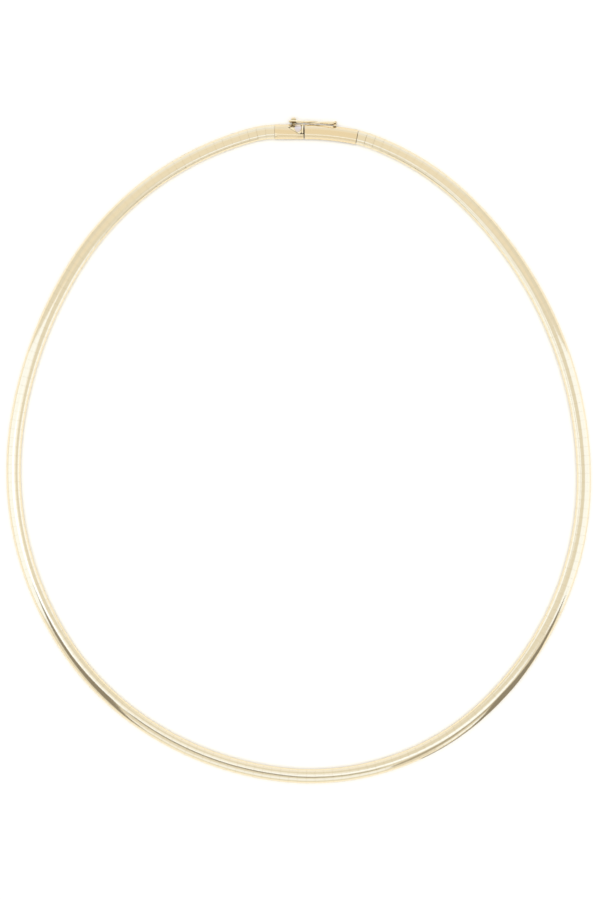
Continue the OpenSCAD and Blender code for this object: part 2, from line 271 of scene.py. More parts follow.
def finish_material(mat, tree, bump, base, roughness):
    """The metal's shader. base and roughness are a value, or (node, output)."""
    shader = node(tree, "ShaderNodeBsdfPrincipled", {"Metallic": 1.0})
    if isinstance(base, tuple):
        tree.links.new(base[0].outputs[base[1]], shader.inputs["Base Color"])
    else:
        shader.inputs["Base Color"].default_value = base
    if isinstance(roughness, tuple):
        tree.links.new(roughness[0].outputs[roughness[1]], shader.inputs["Roughness"])
    else:
        shader.inputs["Roughness"].default_value = roughness
    tree.links.new(bump.outputs["Normal"], shader.inputs["Normal"])
    out = node(tree, "ShaderNodeOutputMaterial")
    tree.links.new(shader.outputs["BSDF"], out.inputs["Surface"])
    return mat


# From this much less open than bright_from, a surface has its painted shade colour in full.
PAINTED_SHADE_RANGE = 0.5


def painted_shade_in_hollows(tree, bright, painted_shade_colour, reach, bright_from=0.8):
    """Base colour with painted shade: it turns to the dark colour where another surface stands
    within reach, in millimetres, as shade would. From bright_from on, as a share of open sky, it
    is bright."""
    # Painted shade: an occlusion node darkens the colour where other surfaces hem the surface in.
    hollow = node(tree, "ShaderNodeAmbientOcclusion", {"samples": 8, "Distance": reach * MM})
    open_part = node(tree, "ShaderNodeMapRange", {"From Min": bright_from - PAINTED_SHADE_RANGE,
                                                  "From Max": bright_from}, Value=(hollow, "AO"))
    mix = node(tree, "ShaderNodeMixRGB", {"Color1": linear(painted_shade_colour), "Color2": linear(bright)},
               Fac=(open_part, "Result"))
    return mix, "Color"


def grained(name, cells_a_mm, strength, depth):
    """A material with one even grain all over, its depth in millimetres."""
    mat, tree = material(name)
    where = node(tree, "ShaderNodeTexCoord")
    grain = node(tree, "ShaderNodeTexNoise", {"Scale": cells_a_mm / MM, "Detail": 2.0},
                 Vector=(where, "Object"))
    bump = node(tree, "ShaderNodeBump", {"Strength": strength, "Distance": depth * MM},
                Height=(grain, "Fac"))
    return mat, tree, bump


def polished_gold():
    """14 karat yellow gold plates, rolled, then polished along the chain on a wheel: a warm mirror
    with very fine lines that run along the band, and a slightly softer shine in patches."""
    mat, tree = material("polished_14k_gold_plates")
    uv = node(tree, "ShaderNodeUVMap", {"uv_map": "along_and_across"})
    # UVs are millimetres. Polishing lines 0.11 mm apart and 3 mm long, with finer ones in them,
    # and soft patches of 3 mm. The lines show from near only, and soften the streaks from afar.
    lines_at = node(tree, "ShaderNodeMapping", {"Scale": (0.35, 9.0, 1.0)}, Vector=(uv, "UV"))
    lines = node(tree, "ShaderNodeTexNoise", {"Scale": 1.0, "Detail": 4.0, "Roughness": 0.6},
                 Vector=(lines_at, "Vector"))
    soft = node(tree, "ShaderNodeTexNoise", {"Scale": 0.35, "Detail": 2.0}, Vector=(uv, "UV"))
    rough = node(tree, "ShaderNodeMapRange", {"To Min": 0.10, "To Max": 0.20},
                 Value=(soft, "Fac"))
    bump = node(tree, "ShaderNodeBump", {"Strength": 0.35, "Distance": 0.006 * MM},
                Height=(lines, "Fac"))
    return finish_material(mat, tree, bump, linear("#F2E4C4"), (rough, "Result"))


def buffed_gold(name, reach, bright_from):
    """14 karat gold of the clasp, sawn and filed from sheet, then buffed: a warm mirror with a
    faint, even haze, tiny random scratches from wear, and painted shade, a dark brown, in its
    hollows and near other parts."""
    mat, tree = material(name)
    where = node(tree, "ShaderNodeTexCoord")
    # Wear scratches 0.3 mm apart with finer ones in them, and haze in patches of 1.4 mm.
    wear = node(tree, "ShaderNodeTexNoise", {"Scale": 3.2 / MM, "Detail": 5.0, "Roughness": 0.65},
                Vector=(where, "Object"))
    haze = node(tree, "ShaderNodeTexNoise", {"Scale": 0.7 / MM, "Detail": 2.0},
                Vector=(where, "Object"))
    rough = node(tree, "ShaderNodeMapRange", {"To Min": 0.12, "To Max": 0.24},
                 Value=(haze, "Fac"))
    bump = node(tree, "ShaderNodeBump", {"Strength": 0.25, "Distance": 0.008 * MM},
                Height=(wear, "Fac"))
    # Painted shade: dark brown where other surfaces stand within reach.
    colour = painted_shade_in_hollows(tree, "#F1DDB5", "#7C6638", reach, bright_from)
    return finish_material(mat, tree, bump, colour, (rough, "Result"))


def white_spring_gold():
    """White gold spring sheet of the thumb pad, rolled and left with a satin grain: a pale
    silver-grey that is warmer than steel, softly blurred."""
    mat, tree = material("white_gold_spring_sheet")
    where = node(tree, "ShaderNodeTexCoord")
    # Rolling grain 0.11 mm apart and 0.7 mm long, along the tongue.
    grain_at = node(tree, "ShaderNodeMapping", {"Scale": (1.5 / MM, 9 / MM, 1.5 / MM)},
                    Vector=(where, "Object"))
    grain = node(tree, "ShaderNodeTexNoise", {"Scale": 1.0, "Detail": 3.0},
                 Vector=(grain_at, "Vector"))
    rough = node(tree, "ShaderNodeMapRange", {"To Min": 0.26, "To Max": 0.42},
                 Value=(grain, "Fac"))
    bump = node(tree, "ShaderNodeBump", {"Strength": 0.3, "Distance": 0.008 * MM},
                Height=(grain, "Fac"))
    return finish_material(mat, tree, bump, linear("#E6DDDD"), (rough, "Result"))


def drawn_gold_wire():
    """Drawn wire of the safety catch, hard from the draw plate, with a painted highlight: its
    colour is paler than the sheet, so that it looks brighter, with painted shade, a dark brown,
    where the wire crosses itself or meets the ball. The thumb tab and its lip have the same pale
    colour, a painted highlight too, and the same finish."""
    # Drawing lines 0.11 mm apart.
    mat, tree, bump = grained("drawn_14k_gold_wire", 9.0, 0.2, 0.005)
    # Painted highlight in the pale colour, and painted shade in the dark brown where other
    # surfaces stand near.
    colour = painted_shade_in_hollows(tree, "#FFF1CE", "#8A733F", 0.5)
    return finish_material(mat, tree, bump, colour, 0.2)


def inner_spring_gold():
    """The part of the spring inside the clasp, never polished, with painted shade: a dark brown
    grey that keeps the gap at the seam dark, as shade would."""
    # Rolling grain 0.15 mm apart.
    mat, tree, bump = grained("painted_shade_inner_spring_sheet", 6.5, 0.3, 0.008)
    # Painted shade: the dark base colour stands in for the shade in the seam's gap.
    return finish_material(mat, tree, bump, linear("#7E6B52"), 0.55)


def seam_shade_gold():
    """The cut ends of box and barrel, sawn and never polished, with painted shade: a dark brown
    gold that keeps the gap between the two dark, as shade would."""
    # Saw marks 0.11 mm apart.
    mat, tree, bump = grained("cut_ends_painted_shade", 9.0, 0.3, 0.008)
    # Painted shade: the dark brown stands in for the shade in the gap at the seam.
    return finish_material(mat, tree, bump, linear("#7A5E34"), 0.6)


def woven_gold():
    """Flat gold wire, plaited and never polished: satin, with a grain that breaks its shine."""
    # Drawing lines 0.06 mm apart.
    mat, tree, bump = grained("plaited_gold_wire_core", 16.0, 0.3, 0.006)
    return finish_material(mat, tree, bump, linear("#D8BE8C"), 0.34)


GOLD, SEAM_SHADE, PLAIT = polished_gold(), seam_shade_gold(), woven_gold()
# The clasp's gold has painted shade in its hollows and beside other parts.
CLASP_GOLD = buffed_gold("buffed_14k_gold_clasp", 0.7, 0.8)
# The ball has painted shade wherever it stands near the box and the catch, and is bright only
# where it stands clear of them.
BALL_GOLD = buffed_gold("buffed_14k_gold_ball", 2.0, 1.0)
SPRING, INNER_SPRING, WIRE_GOLD = white_spring_gold(), inner_spring_gold(), drawn_gold_wire()


# The chain of plates

# Visible gap between two plates. The plates beside barrel and box stand open, as the band bends.
HAIRLINE = 0.008
OPEN_SEAMS = {0: 0.08, 1: 0.045, 2: 0.03, 3: 0.015, PLATE_N - 3: 0.02, PLATE_N - 2: 0.025,
              PLATE_N - 1: 0.02, PLATE_N: 0.012}
END_BEVEL = 0.012
# The most that a plate is turned, in degrees, about a line at this height, and moved aside.
PLATE_ROLL, ROLL_Z, PLATE_SWAY = 0.25, 1, 0.008


def omega_plates():
    """Each plate is a C rolled round the core, a little longer on the outer side of the bend."""
    chance = random.Random(11)
    full = domed(BAND_W, BAND_H, BAND_EDGE, 0, SLOT_W / 2)
    inset = domed(BAND_W - 2 * END_BEVEL, BAND_H - 2 * END_BEVEL, BAND_EDGE - END_BEVEL,
                  END_BEVEL, SLOT_W / 2 + END_BEVEL)
    inner = domed(BAND_W - 2 * PLATE_SHEET, BAND_H - 2 * PLATE_SHEET, BAND_EDGE - PLATE_SHEET,
                  PLATE_SHEET, SLOT_W / 2)
    n = len(full)
    edges = [math.dist(full[i], full[i + 1]) for i in range(n - 1)]
    girth = np.concatenate([[0], np.cumsum(edges)])
    verts, faces, uvs = [], [], []
    for k in range(PLATE_N):
        start = BARREL_LEN + k * PITCH + OPEN_SEAMS.get(k, HAIRLINE) / 2
        end = BARREL_LEN + (k + 1) * PITCH - OPEN_SEAMS.get(k + 1, HAIRLINE) / 2
        roll = math.radians(chance.uniform(-PLATE_ROLL, PLATE_ROLL))
        sway = chance.uniform(-PLATE_SWAY, PLATE_SWAY)
        cos, sin = math.cos(roll), math.sin(roll)
        first = len(verts)
        rings = [(start, inset), (start + END_BEVEL, full), (end - END_BEVEL, full), (end, inset),
                 (start, inner), (end, inner)]
        for s, outline in rings:
            for (x, y), g in zip(outline, girth):
                verts.append(beside(s, x * cos - (y - ROLL_Z) * sin + sway,
                                    ROLL_Z + x * sin + (y - ROLL_Z) * cos))
                uvs.append((s, g))
        a, b, c, d, in_a, in_d = [first + j * n for j in range(len(rings))]
        for one, two in ((a, b), (b, c), (c, d)):
            for i in range(n - 1):
                faces.append((one + i, one + i + 1, two + i + 1, two + i))
        for i in range(n - 1):
            faces.append((in_a + i, in_d + i, in_d + i + 1, in_a + i + 1))
            faces.append((a + i, in_a + i, in_a + i + 1, a + i + 1))
            faces.append((d + i, d + i + 1, in_d + i + 1, in_d + i))
        for i, flip in ((0, 1), (n - 1, -1)):
            foot = (in_a + i, a + i, b + i, c + i, d + i, in_d + i)
            faces.append(foot[::flip])
    return made("omega_plates_polished", verts, faces, "necklace", GOLD, sharp=28,
                uvs=uvs)


# The woven core

STRANDS, BRAID_LEN = 6, 4.0
STRAND_W, STRAND_T = 0.42, 0.13
# Rings of a strand in one braid length, in which it goes across the ribbon and back.
BRAID_RINGS = 4 * STRANDS
# How far a strand rises over its neighbour, how soon, and its slant across the ribbon in degrees.
STRAND_RISE, RISE_SPEED, STRAND_SLANT = 0.11, 3, 43
# The shares of its width that a strand keeps along the ribbon and across it.
STRAND_ALONG, STRAND_ACROSS = 0.6, 0.8


def woven_core():
    """A flat plait: each strand zigzags across the ribbon, over one strand and under the next."""
    start, end = BARREL_LEN - CORE_SEAT, ROUTE_LEN + CORE_SEAT
    reach = (CORE_W - STRAND_W) / 2
    mid = CORE_Z + CORE_H / 2
    steps = int((end - start) / BRAID_LEN * BRAID_RINGS)
    verts, faces = [], []
    for strand in range(STRANDS):
        first = len(verts)
        for j in range(steps + 1):
            s = start + (end - start) * j / steps
            phase = (s / BRAID_LEN + strand / STRANDS) % 1.0
            across = reach * (4 * abs(phase - 0.5) - 1)
            turn = math.sin(math.tau * phase)
            sense = math.copysign(min(1.0, abs(turn) * RISE_SPEED), turn)
            lift = mid + STRAND_RISE * sense * math.cos(math.tau * STRANDS * phase)
            slant = math.radians(STRAND_SLANT) * (1 if phase < 0.5 else -1)
            half = np.array([math.sin(slant), math.cos(slant)]) * STRAND_W / 2
            for side, up in ((-1, -1), (1, -1), (1, 1), (-1, 1)):
                along = min(max(s + half[0] * side * STRAND_ALONG, start), end)
                verts.append(beside(along, across + half[1] * side * STRAND_ACROSS,
                                    lift + up * STRAND_T / 2))
        faces += tube_faces(steps + 1, 4, first)
    return made("woven_core_plait", verts, faces, "necklace", PLAIT, sharp=50)


# Blocks, cutters and turned pieces

def solid(name, verts, faces):
    """A closed body in mm, used as a block or a cutter."""
    mesh = bpy.data.meshes.new(name)
    mesh.from_pydata([tuple(v) for v in verts], [], faces)
    mesh.update()
    block = bpy.data.objects.new(name, mesh)
    bpy.context.scene.collection.objects.link(block)
    return block


def along_box(name, outline, far, near):
    """A straight length of a section, between two distances back from the seam."""
    n = len(outline)
    verts = [(-far, x, y) for x, y in outline] + [(-near, x, y) for x, y in outline]
    return solid(name, verts, tube_faces(2, n))


def along_arc(name, outline, start, end, steps):
    """A length of a section swept along the barrel's arc."""
    n = len(outline)
    verts = []
    for j in range(steps + 1):
        verts += [beside(start + (end - start) * j / steps, x, y) for x, y in outline]
    return solid(name, verts, tube_faces(steps + 1, n))


def upright(name, plan, low, high):
    """A prism over a plan that runs anticlockwise."""
    n = len(plan)
    verts = [(x, y, low) for x, y in plan] + [(x, y, high) for x, y in plan]
    return solid(name, verts, tube_faces(2, n))


# Corners nearer than this, in mm, are one corner. An edge with more than this turn, in degrees,
# is a real one.
SAME_CORNER, REAL_EDGE = 1e-5, 35


def outward_normals(mesh):
    """Turns the faces outward, which the cuts need."""
    bm = bmesh.new()
    bm.from_mesh(mesh)
    bmesh.ops.remove_doubles(bm, verts=bm.verts, dist=SAME_CORNER)
    bmesh.ops.recalc_face_normals(bm, faces=bm.faces)
    bm.to_mesh(mesh)
    bm.free()


def worked(block, steps, bevel, angle=REAL_EDGE, segments=2):
    """The block after its cuts and joins, with its edges eased. steps are (operation, tool)."""
    for thing in [block] + [tool for _, tool in steps]:
        outward_normals(thing.data)
    for operation, tool in steps:
        cut = block.modifiers.new("work", "BOOLEAN")
        cut.operation, cut.object, cut.solver = operation, tool, "EXACT"
    ease = block.modifiers.new("ease", "BEVEL")
    ease.width, ease.segments, ease.limit_method = bevel, segments, "ANGLE"
    ease.angle_limit, ease.use_clamp_overlap = math.radians(angle), True
    graph = bpy.context.evaluated_depsgraph_get()
    mesh = bpy.data.meshes.new_from_object(block.evaluated_get(graph))
    for thing in [block] + [tool for _, tool in steps]:
        bpy.data.objects.remove(thing)
    return mesh


def fitted(name, mesh, finish):
    """A worked mesh as a piece of the clasp."""
    to_part(mesh)
    mesh.name = name
    return dressed(name, mesh, "necklace", finish, REAL_EDGE)


def turned(name, profile, place, axis, finish, sides, sharp, closed=False):
    """A piece turned on a lathe: its profile is (radius, distance along the axis)."""
    turn = Vector(axis).to_track_quat("Z", "Y").to_matrix()
    verts, faces = [], []
    n = len(profile)
    for c in range(sides):
        t = math.tau * c / sides
        for r, z in profile:
            verts.append(Vector(place) + turn @ Vector((r * math.cos(t), r * math.sin(t), z)))
    for c in range(sides):
        d = (c + 1) % sides
        for i in range(n if closed else n - 1):
            k = (i + 1) % n
            faces.append((c * n + i, d * n + i, d * n + k, c * n + k))
    if not closed:
        faces.append(tuple(c * n for c in range(sides - 1, -1, -1)))
        faces.append(tuple(c * n + n - 1 for c in range(sides)))
    return made(name, verts, faces, "necklace", finish, sharp)


# Box and barrel

# A cutter this deep goes right through, and one runs this far past the block's end.
DEEP, PAST_BOX, PAST_BARREL = 6.0, 1, 0.3
BOX_BACK = BOX_LEN - SEEN_BOX_SEAM
# Radii of the eased edges.
BOX_EASE, BARREL_EASE, TUBE_EASE, WEB_EASE = 0.07, 0.05, 0.05, 0.04
# Facets of the domes that show, and lengths that the barrel's wall and bore are swept in.
SMOOTH_DOME, BARREL_STEPS, BORE_STEPS = 48, 30, 20
# The slot for the spring's tail reaches this far into the barrel.
TAIL_SLOT = 2


def end_outline(shrink=0.0, n_dome=26):
    """Section of box and barrel, or of the room inside them."""
    return domed(END_W - 2 * shrink, END_H - 2 * shrink, END_E - shrink, shrink, None, 8, n_dome)


def notch_plan(clear, reach):
    """Plan of the V notch, from its tip anticlockwise, drawn in by a clearance."""
    v_half = math.atan(NOTCH_W / 2 / NOTCH_SLOPE)
    half = NOTCH_W / 2 - clear
    tip = -NOTCH_LEN + clear / math.sin(v_half)
    shoulder = tip + half / math.tan(v_half)
    plan = [(tip, 0), (shoulder, -half), (reach, -half), (reach, half), (shoulder, half)]
    return [(x, y + NOTCH_OFF) for x, y in plan]


def shade_cut_ends(piece):
    """Gives the painted shade, a dark finish, to the faces that look along the band, where it was
    sawn off.
    """
    along_band = 0.97
    piece.data.materials.append(SEAM_SHADE)
    for face in piece.data.polygons:
        if abs(face.normal.x) > along_band:
            face.material_index = 1
    return piece


def clasp_box():
    """The hollow box with its V notch, closed at the back by a plate that the core goes into."""
    plate_back = BOX_BACK - CORE_SEAT - PLATE_GAP
    shell = along_box("shell", end_outline(0.0, SMOOTH_DOME), BOX_BACK, SEEN_SEAM / 2)
    mouth = along_box("mouth", end_outline(END_WALL), plate_back - END_PLATE, -PAST_BOX)
    core_hole = along_box("core_hole", end_outline(END_WALL), BOX_BACK + PAST_BOX, plate_back)
    notch = upright("notch", notch_plan(0, DEEP), NOTCH_FLOOR, DEEP)
    cuts = [("DIFFERENCE", tool) for tool in (mouth, core_hole, notch)]
    mesh = worked(shell, cuts, BOX_EASE)
    return shade_cut_ends(fitted("clasp_box_notched", mesh, CLASP_GOLD))


def ball_stud():
    """Ball on a waisted stem, with the fillet of solder at the box's side."""
    r, stem = BALL_D / 2, STEM_D / 2
    foot = BALL_OUT + END_WALL / 2
    # How far the solder stands out from the stem, and how far it lies from the box's side.
    fillet = [(0.13, -0.02), (0.09, 0.04), (0.05, 0.1), (0, 0.2)]
    profile = [(stem + 0.14, -foot)] + [(stem + out, -BALL_OUT + off) for out, off in fillet]
    # Where the ball joins the stem, its rings, and the radius that it is closed at.
    join, rings, tip = math.asin(stem / r), 22, 0.002
    for k in range(rings + 1):
        t = join + (math.pi - join) * k / rings
        profile.append((max(r * math.sin(t), tip), -r * math.cos(t)))
    return turned("ball_stud", profile, (-BALL_X, END_SIDE + BALL_OUT, CATCH_Z), (0, 1, 0),
                  BALL_GOLD, sides=36, sharp=50)


def clasp_barrel():
    """The hollow barrel, closed at the seam by a plate with a slot for the spring's tail."""
    back = BARREL_LEN - PLATE_GAP / 2
    front = SEEN_SEAM / 2
    shell = along_arc("barrel", end_outline(0.0, SMOOTH_DOME), front, back, BARREL_STEPS)
    bore = along_arc("bore", end_outline(END_WALL), front + END_PLATE, BARREL_LEN + PAST_BARREL,
                     BORE_STEPS)
    gap = LEAF_W / 2 + LEAF_CLEAR
    slot = upright("slot", [(-DEEP, -gap), (TAIL_SLOT, -gap), (TAIL_SLOT, gap), (-DEEP, gap)],
                   LEAF_Z - LEAF_CLEAR, LEAF_Z + LEAF_T + LEAF_CLEAR)
    mesh = worked(shell, [("DIFFERENCE", bore), ("DIFFERENCE", slot)], BARREL_EASE)
    return shade_cut_ends(fitted("clasp_barrel_tube", mesh, CLASP_GOLD))


def hinge_tube():
    """The tube that the catch turns in, with its ends eased inside and out."""
    half = [(TUBE_R, TUBE_HALF - TUBE_EASE), (TUBE_R - TUBE_EASE, TUBE_HALF),
            (BORE_R + TUBE_EASE, TUBE_HALF), (BORE_R, TUBE_HALF - TUBE_EASE)]
    profile = [(r, -z) for r, z in reversed(half)] + half
    return turned("hinge_tube", profile, (HINGE_X, HINGE_Y, CATCH_Z), (0, 0, 1), CLASP_GOLD,
                  sides=40, sharp=30, closed=True)


def hinge_web():
    """Short web of solder that carries the tube on the barrel's side."""
    wall = route_at(HINGE_X)[0][1] + END_SIDE - END_WALL / 2
    # How deep the web goes into the tube's wall, and how much wider it is at the barrel.
    into_tube, spread = 0.9, 1.5
    half = TUBE_R / 2
    near = HINGE_Y - BORE_R * into_tube
    plan = [(HINGE_X - half * spread, wall), (HINGE_X + half * spread, wall),
            (HINGE_X + half, near), (HINGE_X - half, near)]
    block = upright("web", plan, CATCH_Z - TUBE_HALF, CATCH_Z + TUBE_HALF)
    return fitted("hinge_web", worked(block, [], WEB_EASE), CLASP_GOLD)


# Tongue and thumb tab

# The tab ends this far back from the seam and from the notch's edges.
TAB_END, TAB_EDGE = SEEN_SEAM / 2 + 0.08, 0.07
# The tab's cut corner beside the lip, along and across.
TAB_CUT = (0.45, 0.4)
# The pad's middle, its half lengths along and across, and how far it stands out of the tab.
PAD_AT, PAD_R, PAD_PROUD, PAD_SIDES = (-1.4, 0.72), (0.74, 0.98), 0.1, 40
# The lip's depth, the length of its cutter, and how far it stays in from the box's side.
LIP_DEEP, LIP_REACH, LIP_SIDE = 1.2, 3, 0.04
# Radii of the eased edges.
TAB_EASE, PAD_EASE, LIP_EASE, LEAF_EASE = 0.05, 0.07, 0.09, 0.04
# The domed sheet's turn to each side, in degrees, its corners, and the fold's facets.
SHEET_SPREAD, SHEET_FACETS, FOLD_STEPS = 80, 40, 16


def domed_sheet(outer_shrink, thickness, far, near):
    """Curved sheet that runs under the box's dome, over its whole width."""
    z0 = dome_centre(END_W, END_H, END_E)
    spread = math.radians(SHEET_SPREAD)

    def curve(r, start, end):
        turns = np.linspace(start, end, SHEET_FACETS)
        return [(r * math.sin(t), z0 + r * math.cos(t)) for t in turns]

    r = END_H - z0 - outer_shrink
    outline = curve(r, spread, -spread) + curve(r - thickness, -spread, spread)
    return along_box("sheet", outline, far, near)


def cut_from_sheet(name, sheet, plan, bevel, segments, finish):
    """A piece of domed sheet, cut out over a plan down to the notch's floor."""
    cutter = upright("plan", plan, NOTCH_FLOOR + TAB_CLEAR, DEEP)
    mesh = worked(sheet, [("INTERSECT", cutter)], bevel, segments=segments)
    return fitted(name, mesh, finish)


def thumb_tab():
    """The V of sheet that fills the notch, with one corner cut off beside the lip."""
    sheet = domed_sheet(TAB_CLEAR, TAB_SHEET, NOTCH_LEN, TAB_END)
    tip, low_shoulder, low_end, high_end, high_shoulder = notch_plan(TAB_EDGE, -TAB_END)
    x, y = low_end
    corner = [(x - LIP_T - TAB_CUT[0], y), (x - LIP_T, y + TAB_CUT[1]), (x, y + TAB_CUT[1])]
    plan = [tip, low_shoulder] + corner + [high_end, high_shoulder]
    return cut_from_sheet("thumb_tab", sheet, plan, TAB_EASE, 2, WIRE_GOLD)


def thumb_pad():
    """The round pad that the thumb presses, raised on the tab."""
    sheet = domed_sheet(TAB_CLEAR - PAD_PROUD, TAB_SHEET, NOTCH_LEN, TAB_END)
    plan = [(PAD_AT[0] + PAD_R[0] * x, PAD_AT[1] + PAD_R[1] * y) for x, y in circle(1, PAD_SIDES)]
    return cut_from_sheet("thumb_pad", sheet, plan, PAD_EASE, 3, SPRING)


def thumb_lip():
    """The raised lip at the tab's end, across the notch."""
    low, high = NOTCH_OFF - NOTCH_W / 2 + TAB_CLEAR, END_SIDE - LIP_SIDE
    sheet = domed_sheet(-LIP_PROUD, LIP_DEEP, TAB_END + LIP_T, TAB_END)
    plan = [(-LIP_REACH, low), (0, low), (0, high), (-LIP_REACH, high)]
    return cut_from_sheet("thumb_lip", sheet, plan, LIP_EASE, 3, WIRE_GOLD)


def spring_leaf():
    """One strip of spring sheet: tail and lower leaf, the fold, and the upper leaf to the tab."""
    mid_fold = LEAF_Z + LEAF_T + FOLD_R
    r = FOLD_R + LEAF_T / 2
    top = mid_fold + FOLD_R + LEAF_T / 2
    open_x = NOTCH_LEN - NOTCH_SLOPE * (NOTCH_OFF + LEAF_W / 2) / (NOTCH_W / 2) - TAB_CLEAR
    path = [(TAIL_LEN, LEAF_Z + LEAF_T / 2), (0, LEAF_Z + LEAF_T / 2)]
    for k in range(FOLD_STEPS + 1):
        t = -math.pi / 2 - math.pi * k / FOLD_STEPS
        path.append((-FOLD_X + r * math.cos(t), mid_fold + r * math.sin(t)))
    path += [(-open_x, top + LEAF_RISE), (-SEAM_GAP - LIP_T, top + TAB_RISE)]
    verts = []
    for i, (x, z) in enumerate(path):
        x0, z0 = path[max(i - 1, 0)]
        x1, z1 = path[min(i + 1, len(path) - 1)]
        run = math.hypot(x1 - x0, z1 - z0)
        nx, nz = -(z1 - z0) / run * LEAF_T / 2, (x1 - x0) / run * LEAF_T / 2
        for y, way in ((-1, -1), (1, -1), (1, 1), (-1, 1)):
            verts.append((x + nx * way, y * LEAF_W / 2, z + nz * way))
    mesh = worked(solid("leaf", verts, tube_faces(len(path), 4)), [], LEAF_EASE, angle=60)
    return fitted("spring_leaf", mesh, INNER_SPRING)


# The safety catch

# Sides of the wire, and rings along a corner at the pin, half the far loop, a run and the pin.
WIRE_SIDES, CORNER_RINGS, LOOP_RINGS, RUN_RINGS, PIN_RINGS = 16, 11, 25, 32, 12


def catch_path():
    """The figure eight as (along, up, parted): from the corner above the pin, along one run to
    the far loop, and back. The two runs part sideways where they cross."""
    corner, loop = np.array([-CORNER_R, PIN_HALF]), np.array([-CATCH_LEN, 0.0])
    reach = loop - corner
    turn = (math.atan2(reach[1], reach[0]) + math.tau
            + math.asin((CORNER_R + LOOP_R) / np.hypot(*reach)))

    def arc(centre, r, start, end, n):
        turns = np.linspace(start, end, n)
        return [centre + r * np.array([math.cos(a), math.sin(a)]) for a in turns]

    first = arc(corner, CORNER_R, 0, turn - math.pi / 2, CORNER_RINGS)
    last = arc(loop, LOOP_R, turn + math.pi / 2, math.pi, LOOP_RINGS)
    (x0, y0), (x1, y1) = first[-1], last[0]
    run = [first[-1] + (last[0] - first[-1]) * k / RUN_RINGS for k in range(1, RUN_RINGS)]
    cross = x0 - y0 * (x1 - x0) / (y1 - y0)
    half = first + run + last

    def parted(x):
        t = abs(x - cross) / (CROSS_LEN / 2)
        return 0 if t >= 1 else (WIRE + CROSS_GAP) / 2 * math.cos(math.pi / 2 * t) ** 2

    return ([(p[0], p[1], parted(p[0])) for p in half]
            + [(p[0], -p[1], -parted(p[0])) for p in half[-2::-1]])


def on_catch(p):
    """From the catch's own plane to the seam's frame: along, outward and up."""
    lean = Matrix.Rotation(-CATCH_LEAN, 3, "Z")
    return Vector((HINGE_X, HINGE_Y, CATCH_Z)) + lean @ Vector((p[0], -p[2], p[1]))


def safety_catch():
    """One length of round wire, bent to a figure eight, its ends meeting in the hinge tube."""
    path = [Vector(p) for p in catch_path()]
    verts, last = [], len(path) - 1
    for k, p in enumerate(path):
        along = path[min(k + 1, last)] - path[max(k - 1, 0)]
        along = Vector((0, 1, 0)) if k in (0, last) else along.normalized()
        across = along.cross(Vector((0, 0, 1))).normalized()
        up = across.cross(along)
        for x, y in circle(1, WIRE_SIDES):
            verts.append(on_catch(p + WIRE / 2 * (across * x + up * y)))
    wire = made("safety_catch_wire", verts, tube_faces(last + 1, WIRE_SIDES), "catch", WIRE_GOLD,
                sharp=50)
    verts = []
    for k in range(PIN_RINGS, -1, -1):
        level = Vector((0, PIN_HALF * (1 - 2 * k / PIN_RINGS), 0))
        verts += [on_catch(level + Vector((x, 0, y))) for x, y in circle(PIN_D / 2, WIRE_SIDES)]
    made("safety_catch_pin", verts, tube_faces(PIN_RINGS + 1, WIRE_SIDES), "catch", CLASP_GOLD,
         sharp=50)
    return wire


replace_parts(omega_plates(), "omega_plates")
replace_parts(woven_core(), "woven_core")
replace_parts(clasp_box(), "clasp_box")
ball_stud()
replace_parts(clasp_barrel(), "clasp_barrel")
hinge_tube()
hinge_web()
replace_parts(thumb_tab(), "spring_tongue")
thumb_pad()
thumb_lip()
spring_leaf()
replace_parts(safety_catch(), "safety_catch")


# Floor, light and camera

def lit(name, size, place, look_at, strength, colour, mirrored, spin=0):
    """A soft rectangular light, turned by spin degrees about its own line. One that the metal
    mirrors doesn't light the table, and the other way round, so that the table stays even."""
    data = bpy.data.lights.new(name, "AREA")
    data.shape, data.size, data.size_y = "RECTANGLE", size[0] * MM, size[1] * MM
    data.color = linear(colour)[:3]
    # Radiance in W per steradian and square metre, so a larger panel isn't a brighter one.
    data.energy = strength * math.pi * data.size * data.size_y
    lamp = bpy.data.objects.new(name, data)
    lamp.location = Vector(place) * MM
    aim = Vector(look_at) * MM - lamp.location
    turn = Quaternion((0, 0, 1), math.radians(spin))
    lamp.rotation_euler = (aim.to_track_quat("-Z", "Y") @ turn).to_euler()
    lamp.visible_camera = False
    lamp.visible_glossy = mirrored
    lamp.visible_diffuse = not mirrored
    bpy.context.scene.collection.objects.link(lamp)


def level(height, rows):
    """Card rows at one height: (heading, outward to one edge, outward to the other edge)."""
    return [(heading, near, height, far, height) for heading, near, far in rows]


def standing(out, rows):
    """Card rows at one distance outward: (heading, height of the lower edge, of the upper)."""
    return [(heading, out, low, out, high) for heading, low, high in rows]


def card_beside(name, glow, colour, rows):
    """A card along the band that only the metal mirrors, for its streaks. Each row is (the heading
    the band faces there, then the distance outward and the height of one edge of the card, then
    of its other edge), in mm. glow is the card's brightness."""
    corners = []
    for heading, out_low, low, out_high, high in rows:
        for off, up in ((out_low, low), (out_high, high)):
            x, y = facing(heading) + outward(heading) * (BAND_W / 2 + off)
            corners.append((x, y, up))
    fields = [(k, k + 2, k + 3, k + 1) for k in range(0, len(corners) - 2, 2)]
    mesh = bpy.data.meshes.new(name)
    mesh.from_pydata(corners, [], fields)
    to_part(mesh)
    mat, tree = material(name)
    shine = node(tree, "ShaderNodeEmission", {"Color": linear(colour), "Strength": glow})
    out = node(tree, "ShaderNodeOutputMaterial")
    tree.links.new(shine.outputs["Emission"], out.inputs["Surface"])
    mesh.materials.append(mat)
    sheet = bpy.data.objects.new(name, mesh)
    sheet.visible_camera = sheet.visible_diffuse = sheet.visible_shadow = False
    bpy.context.scene.collection.objects.link(sheet)


# The table's half width in metres, and how far it lies under the necklace in mm.
TABLE_HALF, TABLE_DROP = 3.0, 0.02


